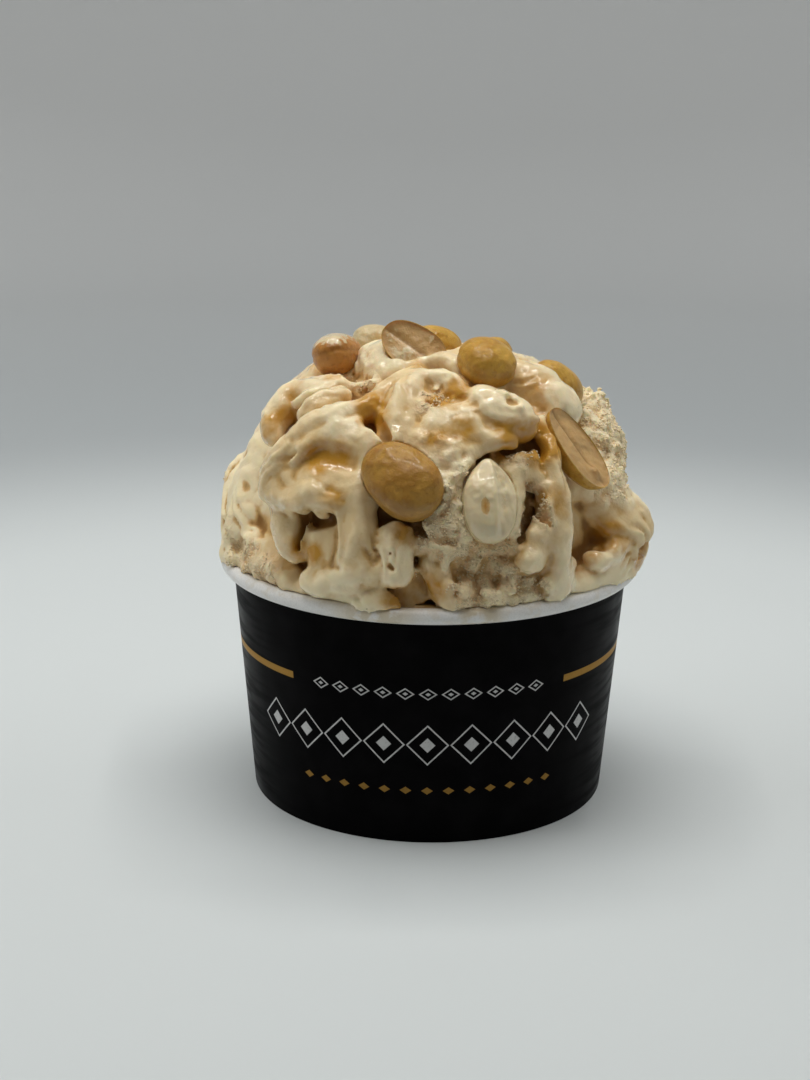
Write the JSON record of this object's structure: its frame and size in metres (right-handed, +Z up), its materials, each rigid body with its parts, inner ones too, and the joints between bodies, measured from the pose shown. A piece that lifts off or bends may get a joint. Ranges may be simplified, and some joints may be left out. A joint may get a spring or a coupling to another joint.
{
  "type": "gelato cup",
  "caption": "Tapered paper cup with a rolled rim, heaped above the rim with folded peanut gelato and topped with whole and half peanuts.",
  "frame": {"origin": "centre of the ring that the cup stands on, on the cup's axis", "axes": "+Z up along the cup's axis, -Y towards the side that the picture shows"},
  "size_m": [0.0905, 0.0888, 0.1007],
  "materials": {
    "cup_paper": "satin black print, white at the rim",
    "base_board": "smooth white board",
    "gelato": "glossy melted skin, torn places matt",
    "peanut": "smooth, slightly moist",
    "peanut_brown": "smooth, wet",
    "peanut_cream": "coated in gelato",
    "peanut_pale": "smooth"
  },
  "bodies": {
    "root": {"cup_wall": "cup_paper", "cup_base": "base_board", "gelato": "gelato", "peanut_front": "peanut", "peanut_top_left": "peanut_brown", "peanut_half_top": "peanut", "peanut_behind_half": "peanut", "peanut_round": "peanut", "peanut_rear_right": "peanut", "peanut_half_right": "peanut", "peanut_coated": "peanut_cream", "peanut_pale": "peanut_pale", "peanut_back_high": "peanut", "peanut_back_low": "peanut"}
  },
  "joints": []
}
